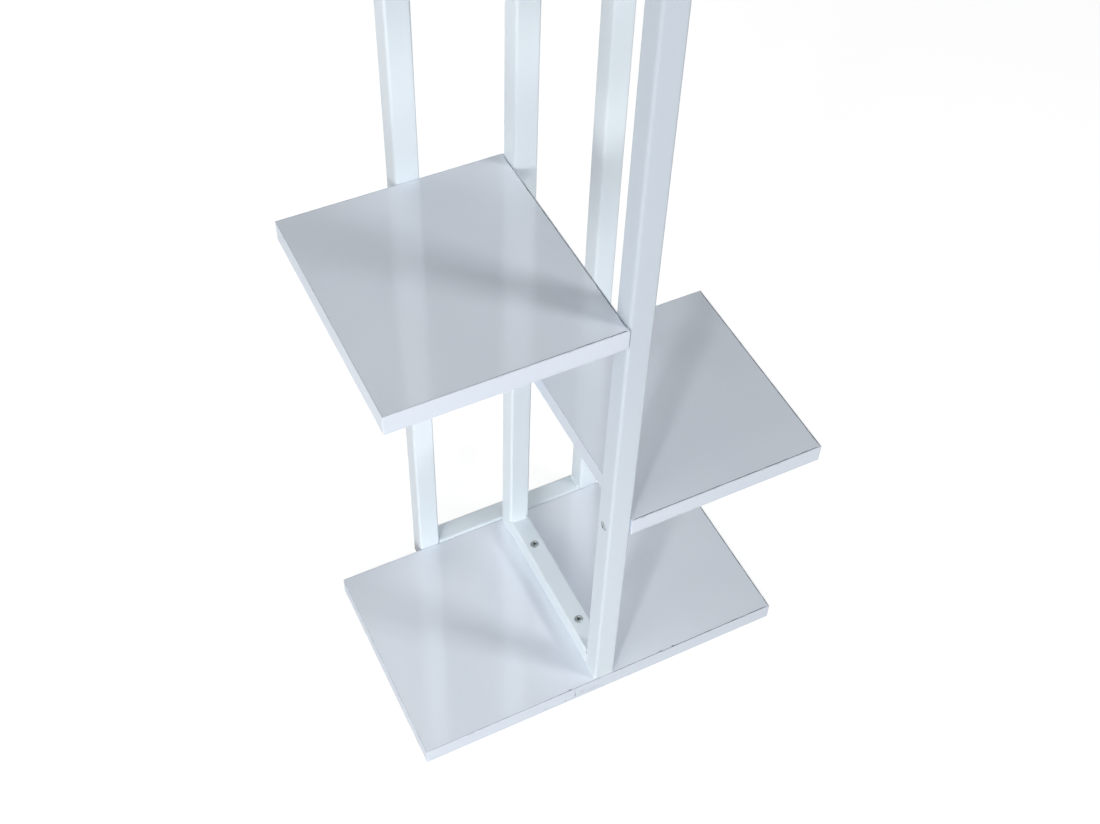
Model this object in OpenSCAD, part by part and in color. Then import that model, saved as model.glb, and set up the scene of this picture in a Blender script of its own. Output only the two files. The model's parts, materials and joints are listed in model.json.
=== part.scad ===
// Plant stand: four half-width shelves step up left and right of a square-tube frame
// that stands on a wide base board, with a second frame across the back.
// Frame: X to the right, Y to the back, Z up, origin on the floor under the middle.

/* [Boards] */
// Thickness of the base board and of every shelf
board_t = 18; // [14:1:25]
// Depth of every board from front to back, edge bands included
board_d = 204; // [164:2:304]
// Width of the base board, edge bands included
base_w = 360; // [300:2:480]
// Width of one shelf, edge bands included
shelf_w = 182; // [150:2:240]
// Thickness of the edge bands
band_t = 0.8; // [0.6:0.1:3]
// Rounding of a board's upright corners
board_corner_r = 1.5; // [0.2:0.1:3]
// Distance of the joint in the base's front band from the middle, to the left
band_seam_x = 34; // [15:1:120]

/* [Shelf heights] */
// Top of the lower right shelf above the floor
lower_right_top = 262; // [180:1:380]
// Top of the middle left shelf above the floor
middle_left_top = 495; // [400:5:600]
// Top of the upper right shelf above the floor
upper_right_top = 775; // [640:5:860]
// Top of the upper left shelf above the floor
upper_left_top = 1055; // [900:5:1080]

/* [Frames] */
// Outer width of the square tube
tube_w = 20; // [16:1:30]
// Wall thickness of the square tube
tube_wall = 1.5; // [1:0.1:2.5]
// Outer corner radius of the square tube
tube_r = 2.4; // [1:0.1:4]
// Height of each welded frame, from tube end to tube end
frame_h = 1180; // [1120:10:1400]
// Overall width of the back frame
back_frame_w = 196; // [150:2:280]
// Distance of the front post's face behind the boards' front edges
post_set_back = 1.5; // [0:0.5:6]

/* [Screws] */
// Shank diameter of every screw
screw_d = 4; // [3:0.5:5]
// Head diameter of every screw
screw_head_d = 8.4; // [7:0.2:10]
// Depth of a screw head's rim below the tube's face
screw_head_sink = 0.2; // [0.1:0.1:0.5]
// Height of a screw's domed top above its rim, except on the stand's flat back
screw_head_rise = 1.4; // [0.6:0.1:2]
// Width of the cross recess in a screw head
recess_w = 4.6; // [3:0.2:5.5]
// Slot width of the cross recess
recess_slot = 1.2; // [0.8:0.1:1.6]
// Depth of the cross recess
recess_depth = 2.2; // [1:0.1:3]
// Depth of a shelf screw in its board
shelf_screw_bite = 30; // [20:1:40]
// Board left under the tip of a screw in the base rail
base_screw_skin = 4; // [2:1:7]
// Distance from a centre post to the nearest screw in the base rail
base_screw_inset = 34; // [15:1:50]
// Distance of the screws in the back rail from the middle
back_screw_x = 50; // [20:1:55]
// Length of the joining screw past the back tube wall that it bites
joining_screw_reach = 8; // [4:1:12]

/* [Feet and plugs] */
// Height of the plastic feet and glides under the stand
foot_h = 4; // [3:0.5:8]
// Rounding of a foot's lower edges
foot_r = 1.5; // [0.5:0.1:2.5]
// Thickness of the plug flanges on the post tops
cap_t = 2; // [1.5:0.1:4]
// Rounding of a plug flange's upper edges
cap_r = 1; // [0.4:0.1:1.4]
// Length of a plug or foot inside its tube
insert_len = 15; // [10:1:20]
// Wall thickness of a plug's insert
insert_wall = 1.6; // [1:0.1:2.5]
// Height of one gripping rib on an insert
rib_h = 1.5; // [1:0.1:2.5]
// Diameter of the round glides under the base board
glide_d = 20; // [14:1:30]
// Distance of a glide's centre from the base board's edges
glide_inset = 26; // [20:1:45]
// Diameter of a glide's pin
glide_pin_d = 3; // [2:0.5:4]
// Length of a glide's pin inside the board
glide_pin_len = 10; // [6:1:11]

/* [Clearances] */
// Gap round a screw or a pin in its hole
hole_gap = 0.1; // [0.05:0.05:0.3]
// Gap between two lengths of edge band that meet
band_gap = 0.15; // [0.1:0.05:0.4]
// Gap between an insert's ribs and the tube
rib_gap = 0.1; // [0.05:0.05:0.2]
// Gap between an insert's body and the tube
insert_gap = 0.7; // [0.4:0.1:1]

/* [Hidden] */
$fn = 48;

RIGHT = 1;
LEFT = -1;
white_steel = [0.90, 0.93, 0.96];
white_board = [0.80, 0.83, 0.87];
white_band = [0.88, 0.91, 0.95];
zinc = [0.62, 0.65, 0.67];
dark_plastic = [0.32, 0.33, 0.34];
light_plastic = [0.86, 0.88, 0.90];

// Depth: the boards' back edges meet the back frame's front faces
total_d = board_d + tube_w;
front_y = -total_d / 2;
board_y = front_y + board_d / 2;
board_back_y = front_y + board_d;
back_face_y = total_d / 2;
front_post_y = front_y + post_set_back + tube_w / 2;
back_post_y = board_back_y - tube_w / 2;
back_frame_y = back_face_y - tube_w / 2;

// Width: the shelves start at the centre frame's side faces
shelf_x = tube_w / 2 + shelf_w / 2;
back_post_x = back_frame_w / 2 - tube_w / 2;
back_rail_len = back_frame_w - 2 * tube_w;
centre_rail_len = board_d - 2 * tube_w - post_set_back;

// Height: base board and back frame stand on the feet, the centre frame on the board
base_top = foot_h + board_t;
back_frame_z = foot_h;
centre_frame_z = base_top;
tube_bore = tube_w - 2 * tube_wall;
tube_bore_r = max(tube_r - tube_wall, 0.4);
band_corner_r = min(board_corner_r, band_t);

// Screws: each entry is where the head's face lies and how the screw is turned
FROM_ABOVE = [180, 0, 0];
FROM_BEHIND = [90, 0, 0];
head_h = (screw_head_d - screw_d) / 2;
tip_len = 1.5 * screw_d;
shelf_screw_len = tube_w + shelf_screw_bite;
base_screw_len = tube_w + board_t - base_screw_skin;
joining_screw_len = tube_w + tube_wall + joining_screw_reach;
base_screw_y = [front_post_y + tube_w / 2 + base_screw_inset, back_post_y - tube_w / 2 - base_screw_inset];
base_rail_spots = [for (y = base_screw_y) [[0, y, centre_frame_z + tube_w], FROM_ABOVE]];
base_back_spots = [for (s = [LEFT, RIGHT]) [[s * back_screw_x, back_face_y, foot_h + board_t / 2], FROM_BEHIND]];
joining_spots = [[[0, back_face_y, back_frame_z + frame_h - tube_w / 2], FROM_BEHIND]];

function screw_z(top) = top - board_t / 2;
function front_spot(side, top) = [[-side * tube_w / 2, front_post_y, screw_z(top)], [0, 90 * side, 0]];
function back_spot(side, top) = [[-side * tube_w / 2, back_post_y, screw_z(top)], [0, 90 * side, 0]];
function rear_spot(side, top) = [[side * back_post_x, back_face_y, screw_z(top)], FROM_BEHIND];
function shelf_spots(side, top) = [front_spot(side, top), back_spot(side, top), rear_spot(side, top)];

SHELVES = [
    [RIGHT, lower_right_top],
    [LEFT, middle_left_top],
    [RIGHT, upper_right_top],
    [LEFT, upper_left_top]
];

// A square outline with round corners
module rounded_square(w, d, r) {
    square([w - 2 * r, d], center = true);
    square([w, d - 2 * r], center = true);
    for (x = [-1, 1], y = [-1, 1])
        translate([x * (w / 2 - r), y * (d / 2 - r)]) circle(r);
}

// A length of square tube along +Z
module tube(len) {
    linear_extrude(len) difference() {
        rounded_square(tube_w, tube_w, tube_r);
        rounded_square(tube_bore, tube_bore, tube_bore_r);
    }
}

// Puts its children at every screw's place, with +Z along the screw
module at_spots(spots) {
    for (s = spots) translate(s[0]) rotate(s[1]) children();
}

// The domed top of a screw head, with its rim on z = 0 and its highest point at z = -rise
module head_dome(rise) {
    rim_r = screw_head_d / 2;
    ball_r = (rim_r * rim_r + rise * rise) / (2 * rise);
    rotate_extrude() intersection() {
        translate([0, ball_r - rise]) circle(ball_r);
        translate([0, -rise]) square([screw_head_d, rise]);
    }
}

// A countersunk screw with a cross recess and a plain shank. Its head is flat where rise is 0.
// The recess starts at the head's highest point, with a straight part above it that clears the dome.
module screw(len, rise = 0) {
    head_top = screw_head_sink - rise;
    difference() {
        union() {
            if (rise > 0) translate([0, 0, screw_head_sink]) head_dome(rise);
            translate([0, 0, screw_head_sink]) cylinder(h = head_h, d1 = screw_head_d, d2 = screw_d);
            translate([0, 0, screw_head_sink]) cylinder(h = len - tip_len - screw_head_sink, d = screw_d);
            translate([0, 0, len - tip_len]) cylinder(h = tip_len, d1 = screw_d, d2 = screw_d / 5);
        }
        intersection() {
            union() {
                if (rise > 0) translate([0, 0, head_top - rise]) cylinder(h = rise, d = recess_w);
                translate([0, 0, head_top]) cylinder(h = recess_depth, d1 = recess_w, d2 = recess_slot);
            }
            union() for (a = [0, 90]) rotate(a + 45)
                cube([recess_w, recess_slot, 4 * recess_depth], center = true);
        }
    }
}

// The countersunk hole that a screw passes through, with its gap all round
module screw_hole(len) {
    seat_d = screw_head_d + 2 * (hole_gap + screw_head_sink);
    bore_d = screw_d + 2 * hole_gap;
    cylinder(h = (seat_d - bore_d) / 2, d1 = seat_d, d2 = bore_d);
    translate([0, 0, -hole_gap]) cylinder(h = len + 2 * hole_gap, d = bore_d);
}

// A board's core, without its bands, standing on z = 0 and centred
module board_core(w) {
    translate([0, 0, board_t / 2]) cube([w - 2 * band_t, board_d - 2 * band_t, board_t], center = true);
}

// The two long bands and the two short bands of a board, as separate strips
module board_bands(w) {
    strip_y = (board_d - band_t) / 2;
    side_len = board_d - 2 * band_t - 2 * band_gap;
    linear_extrude(board_t) intersection() {
        rounded_square(w, board_d, band_corner_r);
        union() for (s = [-1, 1]) {
            translate([0, s * strip_y]) square([w, band_t], center = true);
            translate([s * (w - band_t) / 2, 0]) square([band_t, side_len], center = true);
        }
    }
}

module shelf_core(side, top) {
    color(white_board) difference() {
        translate([side * shelf_x, board_y, top - board_t]) board_core(shelf_w);
        at_spots(shelf_spots(side, top)) screw_hole(shelf_screw_len);
    }
}

module shelf_bands(side, top) {
    color(white_band) difference() {
        translate([side * shelf_x, board_y, top - board_t]) board_bands(shelf_w);
        at_spots(shelf_spots(side, top)) screw_hole(shelf_screw_len);
    }
}

module shelf_screws(side, top) {
    color(zinc) {
        at_spots([front_spot(side, top), back_spot(side, top)]) screw(shelf_screw_len, screw_head_rise);
        at_spots([rear_spot(side, top)]) screw(shelf_screw_len);
    }
}

// The places of the four glides under the base board
module at_glides() {
    for (x = [-1, 1], y = [-1, 1])
        translate([x * (base_w / 2 - glide_inset), board_y + y * (board_d / 2 - glide_inset), 0]) children();
}

module base_board() {
    color(white_board) difference() {
        translate([0, board_y, foot_h]) board_core(base_w);
        at_spots(base_rail_spots) screw_hole(base_screw_len);
        at_spots(base_back_spots) screw_hole(shelf_screw_len);
        at_glides() translate([0, 0, foot_h - hole_gap])
            cylinder(h = glide_pin_len + 2 * hole_gap, d = glide_pin_d + 2 * hole_gap);
    }
}

module base_edge_bands() {
    color(white_band) difference() {
        translate([0, board_y, foot_h]) board_bands(base_w);
        at_spots(base_back_spots) screw_hole(shelf_screw_len);
        translate([-band_seam_x, front_y, foot_h + board_t / 2])
            cube([band_gap, 3 * band_t, 2 * board_t], center = true);
    }
}

module lower_right_shelf() { shelf_core(RIGHT, lower_right_top); }
module middle_left_shelf() { shelf_core(LEFT, middle_left_top); }
module upper_right_shelf() { shelf_core(RIGHT, upper_right_top); }
module upper_left_shelf() { shelf_core(LEFT, upper_left_top); }

module lower_right_edge_bands() { shelf_bands(RIGHT, lower_right_top); }
module middle_left_edge_bands() { shelf_bands(LEFT, middle_left_top); }
module upper_right_edge_bands() { shelf_bands(RIGHT, upper_right_top); }
module upper_left_edge_bands() { shelf_bands(LEFT, upper_left_top); }

module centre_post_front() {
    color(white_steel) difference() {
        translate([0, front_post_y, centre_frame_z]) tube(frame_h);
        for (s = SHELVES) at_spots([front_spot(s[0], s[1])]) screw_hole(shelf_screw_len);
    }
}

module centre_post_back() {
    color(white_steel) difference() {
        translate([0, back_post_y, centre_frame_z]) tube(frame_h);
        for (s = SHELVES) at_spots([back_spot(s[0], s[1])]) screw_hole(shelf_screw_len);
        at_spots(joining_spots) screw_hole(joining_screw_len);
    }
}

// A rail between the two centre posts, with its underside at height z
module centre_rail(z) {
    translate([0, back_post_y - tube_w / 2, z + tube_w / 2]) rotate([90, 0, 0]) tube(centre_rail_len);
}

module centre_rail_bottom() {
    color(white_steel) difference() {
        centre_rail(centre_frame_z);
        at_spots(base_rail_spots) screw_hole(base_screw_len);
    }
}

module centre_rail_top() {
    color(white_steel) centre_rail(centre_frame_z + frame_h - tube_w);
}

module back_post(side) {
    color(white_steel) difference() {
        translate([side * back_post_x, back_frame_y, back_frame_z]) tube(frame_h);
        for (s = SHELVES) if (s[0] == side)
            at_spots([rear_spot(s[0], s[1])]) screw_hole(shelf_screw_len);
    }
}

module back_post_left() { back_post(LEFT); }
module back_post_right() { back_post(RIGHT); }

// A rail between the two back posts, with its underside at height z
module back_rail(z) {
    translate([-back_rail_len / 2, back_frame_y, z + tube_w / 2]) rotate([0, 90, 0]) tube(back_rail_len);
}

module back_rail_bottom() {
    color(white_steel) difference() {
        back_rail(back_frame_z);
        at_spots(base_back_spots) screw_hole(shelf_screw_len);
    }
}

module back_rail_top() {
    color(white_steel) difference() {
        back_rail(back_frame_z + frame_h - tube_w);
        at_spots(joining_spots) screw_hole(joining_screw_len);
    }
}

module base_rail_screws() { color(zinc) at_spots(base_rail_spots) screw(base_screw_len, screw_head_rise); }
module base_back_screws() { color(zinc) at_spots(base_back_spots) screw(shelf_screw_len); }
module lower_right_screws() { shelf_screws(RIGHT, lower_right_top); }
module middle_left_screws() { shelf_screws(LEFT, middle_left_top); }
module upper_right_screws() { shelf_screws(RIGHT, upper_right_top); }
module upper_left_screws() { shelf_screws(LEFT, upper_left_top); }
module frame_joining_screw() { color(zinc) at_spots(joining_spots) screw(joining_screw_len); }

// Side view of a flange: flat below, upper corners rounded by r
module flange_side(h, r) {
    translate([-tube_w / 2, 0]) square([tube_w, h - r]);
    translate([-tube_w / 2 + r, 0]) square([tube_w - 2 * r, h]);
    for (x = [-1, 1]) translate([x * (tube_w / 2 - r), h - r]) circle(r);
}

// A flange the size of the tube, standing on z = 0 with its upper edges rounded
module flange(h, r) {
    intersection() {
        linear_extrude(h) rounded_square(tube_w, tube_w, tube_r);
        translate([0, tube_w / 2, 0]) rotate([90, 0, 0]) linear_extrude(tube_w) flange_side(h, r);
        translate([-tube_w / 2, 0, 0]) rotate([90, 0, 90]) linear_extrude(tube_w) flange_side(h, r);
    }
}

// The hollow insert that grips the tube, hanging below z = 0
module tube_insert() {
    body_w = tube_bore - 2 * insert_gap;
    rib_w = tube_bore - 2 * rib_gap;
    body_r = max(tube_bore_r - insert_gap, 0.3);
    difference() {
        union() {
            translate([0, 0, -insert_len]) linear_extrude(insert_len) rounded_square(body_w, body_w, body_r);
            for (k = [1, 2]) translate([0, 0, -k * insert_len / 3 - rib_h / 2])
                linear_extrude(rib_h) rounded_square(rib_w, rib_w, tube_bore_r);
        }
        translate([0, 0, -insert_len / 2 - insert_wall]) cube(
            [body_w - 2 * insert_wall, body_w - 2 * insert_wall, insert_len], center = true);
    }
}

module post_feet() {
    color(dark_plastic) for (s = [LEFT, RIGHT])
        translate([s * back_post_x, back_frame_y, foot_h]) rotate([180, 0, 0]) {
            flange(foot_h, foot_r);
            tube_insert();
        }
}

module post_top_plugs() {
    color(light_plastic) {
        for (s = [LEFT, RIGHT]) translate([s * back_post_x, back_frame_y, back_frame_z + frame_h]) {
            flange(cap_t, cap_r);
            tube_insert();
        }
        for (y = [front_post_y, back_post_y]) translate([0, y, centre_frame_z + frame_h]) {
            flange(cap_t, cap_r);
            tube_insert();
        }
    }
}

// A round glide with a rounded lower rim, and the pin that is pushed into the board
module base_glides() {
    color(dark_plastic) at_glides() {
        rotate_extrude() {
            translate([0, foot_r]) square([glide_d / 2, foot_h - foot_r]);
            square([glide_d / 2 - foot_r, foot_h]);
            translate([glide_d / 2 - foot_r, foot_r]) intersection() {
                circle(foot_r);
                translate([-foot_r, -foot_r]) square([2 * foot_r, foot_r]);
            }
        }
        translate([0, 0, foot_h]) cylinder(h = glide_pin_len, d = glide_pin_d);
    }
}

base_board();
lower_right_shelf();
middle_left_shelf();
upper_right_shelf();
upper_left_shelf();
base_edge_bands();
lower_right_edge_bands();
middle_left_edge_bands();
upper_right_edge_bands();
upper_left_edge_bands();
centre_post_front();
centre_post_back();
centre_rail_bottom();
centre_rail_top();
back_post_left();
back_post_right();
back_rail_bottom();
back_rail_top();
base_rail_screws();
base_back_screws();
lower_right_screws();
middle_left_screws();
upper_right_screws();
upper_left_screws();
frame_joining_screw();
post_feet();
base_glides();
post_top_plugs();
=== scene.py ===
# %% [markdown]
# # A white plant stand
# The stand is two welded frames of 20 mm square tube, coated white, that carry four small shelves
# and a wide base board of white-faced chipboard. The CAD model has every part in its place. This
# lesson loads it as a fixed frame and gives each part the surface it has in a photograph: boards
# with thin glued edging, coated tube, zinc screws and moulded plastic feet. It adds weld beads.

# %% Load the frame
import json
import math

import bpy
import numpy as np
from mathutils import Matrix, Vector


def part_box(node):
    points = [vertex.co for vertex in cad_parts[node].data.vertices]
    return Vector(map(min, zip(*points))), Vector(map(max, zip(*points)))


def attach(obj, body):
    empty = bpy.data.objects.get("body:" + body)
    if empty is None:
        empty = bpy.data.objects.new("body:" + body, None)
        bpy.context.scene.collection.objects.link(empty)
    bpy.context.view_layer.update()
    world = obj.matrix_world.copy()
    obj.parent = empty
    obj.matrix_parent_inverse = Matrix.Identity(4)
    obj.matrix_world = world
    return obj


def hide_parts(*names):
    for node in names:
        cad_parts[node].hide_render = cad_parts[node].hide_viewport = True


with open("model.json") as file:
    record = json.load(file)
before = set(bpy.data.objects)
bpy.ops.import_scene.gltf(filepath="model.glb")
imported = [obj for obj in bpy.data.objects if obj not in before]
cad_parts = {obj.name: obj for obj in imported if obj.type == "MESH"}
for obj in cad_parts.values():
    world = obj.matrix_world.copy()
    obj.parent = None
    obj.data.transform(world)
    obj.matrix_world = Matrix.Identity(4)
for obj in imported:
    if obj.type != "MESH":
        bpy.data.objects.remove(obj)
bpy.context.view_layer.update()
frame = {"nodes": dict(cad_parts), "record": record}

MM = 0.001


# %% [markdown]
# ## Colours
# A maker reads a paint colour from a chart as a hex code, which is sRGB. Blender's shaders count
# light, which is linear. The linear values could be typed in as decimals, but then nobody could
# look them up in the chart, so one function turns each code to linear wherever a colour is used.


# %% A hex code to linear colour
def linear(code):
    """Each channel v, from 0 to 1, becomes v / 12.92 up to 0.04045, and above that
    ((v + 0.055) / 1.055) ** 2.4."""
    v = np.array([int(code[i:i + 2], 16) / 255 for i in (1, 3, 5)])
    rgb = np.where(v <= 0.04045, v / 12.92, ((v + 0.055) / 1.055) ** 2.4)
    return (*rgb.tolist(), 1.0)


print("mid grey:", [round(v, 3) for v in linear("#808080")])

# %% [markdown]
# ## Nodes
# A material is a small network. It could be built with a function for each kind of node, but they
# all come down to the same three acts: make the node, set what it has, and fill its sockets with
# a value or a link. So there is one function for them all.


# %% One function adds any node
def add(tree, kind, sockets=None, **settings):
    """Makes a node. settings go on the node itself, and each socket gets a value, or a link from
    another node's output."""
    made = tree.nodes.new(kind)
    for name, value in settings.items():
        setattr(made, name, value)
    for name, value in (sockets or {}).items():
        if isinstance(value, bpy.types.NodeSocket):
            tree.links.new(value, made.inputs[name])
        else:
            made.inputs[name].default_value = value
    return made


def empty_tree(owner):
    """The network of a material or a world, with nothing in it yet."""
    owner.use_nodes = True
    owner.node_tree.nodes.clear()
    return owner.node_tree


print("node helper ready")

# %% [markdown]
# Every finish here is one Principled shader. What is the same all over the surface, such as the
# IOR, is set on the shader's own sockets. What varies is linked to it, which is its colour,
# roughness and relief. Several shaders could be mixed, but none of these surfaces needs it.


# %% A finish
def new_finish(name, **shader_values):
    """A material with one Principled shader, and the object coordinates that its patterns read."""
    material = bpy.data.materials.new(name)
    tree = empty_tree(material)
    shader = add(tree, "ShaderNodeBsdfPrincipled",
                 {key.replace("_", " "): value for key, value in shader_values.items()})
    add(tree, "ShaderNodeOutputMaterial", {"Surface": shader.outputs["BSDF"]})
    place = add(tree, "ShaderNodeTexCoord").outputs["Object"]
    return material, tree, shader, place


def vary(tree, shader, colour, roughness, relief):
    """Links the three things that change over the surface to the shader."""
    for socket, source in (("Base Color", colour), ("Roughness", roughness), ("Normal", relief)):
        tree.links.new(source, shader.inputs[socket])


print("finish helpers ready")

# %% [markdown]
# ## Camera
# The photograph looks down at the stand from its front left. Thirty-two edges of it were matched to
# the CAD model, which gave the camera's place, its angles and its field of view. The camera could
# be aimed with a constraint, but the angles say the same without one: it stands on a line that is
# turned 28.24 degrees to the left and 49.93 degrees up, and leans by 2.42 degrees.


# %% Put a thing in the scene
def put(name, data):
    """A new object in the scene, which holds the data."""
    made = bpy.data.objects.new(name, data)
    bpy.context.scene.collection.objects.link(made)
    return made


def pose(thing, side, above, backward, place):
    """Turns a camera or lamp so that its X, Y and Z run along three directions, and places it.
    It looks along minus Z, so backward is the way from what it looks at."""
    columns = np.eye(4)
    columns[:3, 0], columns[:3, 1], columns[:3, 2], columns[:3, 3] = side, above, backward, place
    thing.matrix_world = columns.T.tolist()


print("pose helper ready")

# %% Camera
VIEW_TURN, VIEW_HEIGHT, VIEW_LEAN = (math.radians(v) for v in (-28.242, 49.928, 2.421))
CAMERA_PLACE = np.array([-381.17, -691.90, 1221.75]) * MM
PHOTO_WIDTH = 1100  # pixels
LENS_PX = 1467.18  # focal length, in pixels of the photograph
SENSOR_MM = 36.0
NEAREST, FARTHEST = 0.02, 40.0  # what the camera takes in, in metres

backward = np.array([math.sin(VIEW_TURN) * math.cos(VIEW_HEIGHT),
                     -math.cos(VIEW_TURN) * math.cos(VIEW_HEIGHT), math.sin(VIEW_HEIGHT)])
level = np.cross(-backward, [0, 0, 1])
level /= np.linalg.norm(level)
upright = np.cross(level, -backward)
side = math.cos(VIEW_LEAN) * level + math.sin(VIEW_LEAN) * upright
above = math.cos(VIEW_LEAN) * upright - math.sin(VIEW_LEAN) * level

camera_data = bpy.data.cameras.new("studio_camera")
camera_data.sensor_width = SENSOR_MM
camera_data.lens = LENS_PX / PHOTO_WIDTH * SENSOR_MM
camera_data.clip_start, camera_data.clip_end = NEAREST, FARTHEST
camera = put("studio_camera", camera_data)
pose(camera, side, above, backward, CAMERA_PLACE)
bpy.context.scene.camera = camera
bpy.context.scene.view_settings.view_transform = "Standard"
print("lens, mm:", round(camera_data.lens, 2))

# %% [markdown]
# ## Light
# Shadows tell where the studio's lamps stood. Seen in plan, the front post throws one shadow back
# and to the left and one back and to the right, both at about 45 degrees, so a lamp stands on
# either side of the camera. The right shadow has a crisp edge, but a shelf's shadow on the post
# behind is soft, so the left lamp is a narrow upright strip. The boards' front edges grow darker
# from left to right, and the tubes are as bright below a shelf as above it, so a wide strip lies
# near the ground at the left. The posts' left faces are pale all the way up, which a large lamp
# higher at the left gives. Another, behind and a little to the left, brightens the back of the
# boards. It is left out of reflections, because from a low viewpoint in front the satin boards
# would mirror it as plain white.
#
# An area lamp's power could be found by trial, but here it is worked out from the level it gives:
# a matt surface that faces it at distance d shows its own colour at pi * pi * d * d watts, and a
# share of that power gives the same share of its colour.

# %% Soft lamps
AIM = np.array([0.0, 0.0, 0.30])
LAMPS = [
    # name, turn from the front in degrees (right is plus), height and distance along the floor in
    # metres, the lamp's width and height in metres, level, and whether glossy surfaces mirror it
    ("lamp_left", -45.5, 1.00, 2.40, 0.18, 0.65, 0.33, True),
    ("lamp_right", 44.0, 1.80, 2.20, 0.50, 0.50, 0.31, True),
    ("lamp_high_left", -60.0, 1.20, 1.30, 0.80, 0.80, 0.20, True),
    ("lamp_low_left", -44.0, 0.15, 0.90, 1.20, 0.25, 0.38, True),
    ("lamp_back", -165.0, 0.90, 1.10, 1.40, 0.80, 0.44, False),
]


def soft_lamp(name, turn, height, distance, wide, tall, level, mirrored):
    """An oblong area lamp that faces AIM, at a height over the floor and a distance along it from
    the stand's middle."""
    angle = math.radians(turn)
    stands = np.array([math.sin(angle) * distance, -math.cos(angle) * distance, height])
    reach = np.linalg.norm(stands - AIM)
    away = (stands - AIM) / reach
    data = bpy.data.lights.new(name, "AREA")
    data.shape = "RECTANGLE"
    data.size, data.size_y = wide, tall
    data.energy = math.pi ** 2 * reach ** 2 * level
    lamp = put(name, data)
    lamp.visible_glossy = mirrored
    across = np.cross([0, 0, 1], away)
    across /= np.linalg.norm(across)
    pose(lamp, across, np.cross(away, across), away, stands)
    return lamp


for row in LAMPS:
    lamp = soft_lamp(*row)
    print(lamp.name, round(lamp.data.energy, 1), "W")

# %% [markdown]
# ## Room
# Pale walls send some light from all of the front side, which the world gives. What the camera and
# the glossy surfaces see of the room is kept apart from what lights the stand: it is white round
# the sides and dims overhead, where a studio is unlit. That dim ceiling is what lets a satin shelf
# show the reflection of a white post. A picture of a studio could do both, but it would need a
# file, and a few nodes are enough.


# %% Two shaders, chosen by the kind of ray
def by_ray(tree, lighting, seen):
    """The shader seen where the camera looks, also in a reflection or through glass, and the
    shader lighting for every other ray."""
    rays = add(tree, "ShaderNodeLightPath")
    glossy = add(tree, "ShaderNodeMath", {
        0: rays.outputs["Is Glossy Ray"], 1: rays.outputs["Is Transmission Ray"]},
        operation="MAXIMUM")
    looking = add(tree, "ShaderNodeMath", {
        0: rays.outputs["Is Camera Ray"], 1: glossy.outputs[0]}, operation="MAXIMUM")
    both = add(tree, "ShaderNodeMixShader", {
        0: looking.outputs[0], 1: lighting.outputs[0], 2: seen.outputs[0]})
    return both.outputs[0]


print("ray helper ready")

# %% World
ROOM_LIGHT = 0.39  # straight from the front, and less towards the sides
WALLS_UP_TO, CEILING_FROM, CEILING_GLOW = 0.50, 0.68, 0.05  # two heights of a view, a strength
room = bpy.data.worlds.new("studio_room")
bpy.context.scene.world = room
tree = empty_tree(room)
way = add(tree, "ShaderNodeTexCoord").outputs["Generated"]
direction = add(tree, "ShaderNodeSeparateXYZ", {"Vector": way})
dimming = add(tree, "ShaderNodeMapRange", {
    "Value": direction.outputs["Z"], "From Min": WALLS_UP_TO, "From Max": CEILING_FROM,
    "To Min": 1.0, "To Max": CEILING_GLOW})
seen_room = add(tree, "ShaderNodeBackground", {
    "Color": (1, 1, 1, 1), "Strength": dimming.outputs["Result"]})
front = add(tree, "ShaderNodeMapRange", {
    "Value": direction.outputs["Y"], "From Min": -1.0, "From Max": 0.0,
    "To Min": ROOM_LIGHT, "To Max": 0.0})
lighting_room = add(tree, "ShaderNodeBackground", {
    "Color": linear("#F6FAFF"), "Strength": front.outputs["Result"]})
add(tree, "ShaderNodeOutputWorld", {"Surface": by_ray(tree, lighting_room, seen_room)})
print("room light level:", ROOM_LIGHT)

# %% [markdown]
# ## Floor
# The photograph's ground is plain white. The floor is one large sheet of white paper. Stronger
# lamps would make it white too, but they would wash out the stand. So to the camera and in
# reflections it glows white by itself and adds a little of the light that falls on it, and the
# stand's shadow still shows. For all other light it is a greyer paper, so that the bounce from
# below stays soft.

# %% Floor
FLOOR_REACH = 8.0  # metres, from the stand to each edge
corners = np.array([[-1, -1, 0], [1, -1, 0], [1, 1, 0], [-1, 1, 0]]) * FLOOR_REACH
floor_mesh = bpy.data.meshes.new("studio_floor")
floor_mesh.from_pydata(corners.tolist(), [], [(0, 1, 2, 3)])
floor = put("studio_floor", floor_mesh)
print("floor:", 2 * FLOOR_REACH, "m square")

# %% Paper for the floor
GLOW, GLOW_PAPER = 0.86, 0.30  # what the camera sees: own glow, and the share of lit paper
paper = bpy.data.materials.new("white_paper_sweep")
tree = empty_tree(paper)
lit = add(tree, "ShaderNodeBsdfDiffuse", {"Color": linear("#AAABAD")})
faint = add(tree, "ShaderNodeBsdfDiffuse", {"Color": (GLOW_PAPER, GLOW_PAPER, GLOW_PAPER, 1)})
glow = add(tree, "ShaderNodeEmission", {"Strength": GLOW})
white = add(tree, "ShaderNodeAddShader", {0: faint.outputs[0], 1: glow.outputs[0]})
add(tree, "ShaderNodeOutputMaterial", {"Surface": by_ray(tree, lit, white)})
floor_mesh.materials.append(paper)
print(paper.name)

# %% [markdown]
# ## Skins
# A board, a strip or a weld bead is a closed outline that changes as it moves along. It could be
# extruded step by step, but it is also a grid of points: row i is the outline at step i, and column
# j is one point of the outline. Neighbouring points make four-sided faces, and one face closes
# either end. Whole arrays do this at once.


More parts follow.
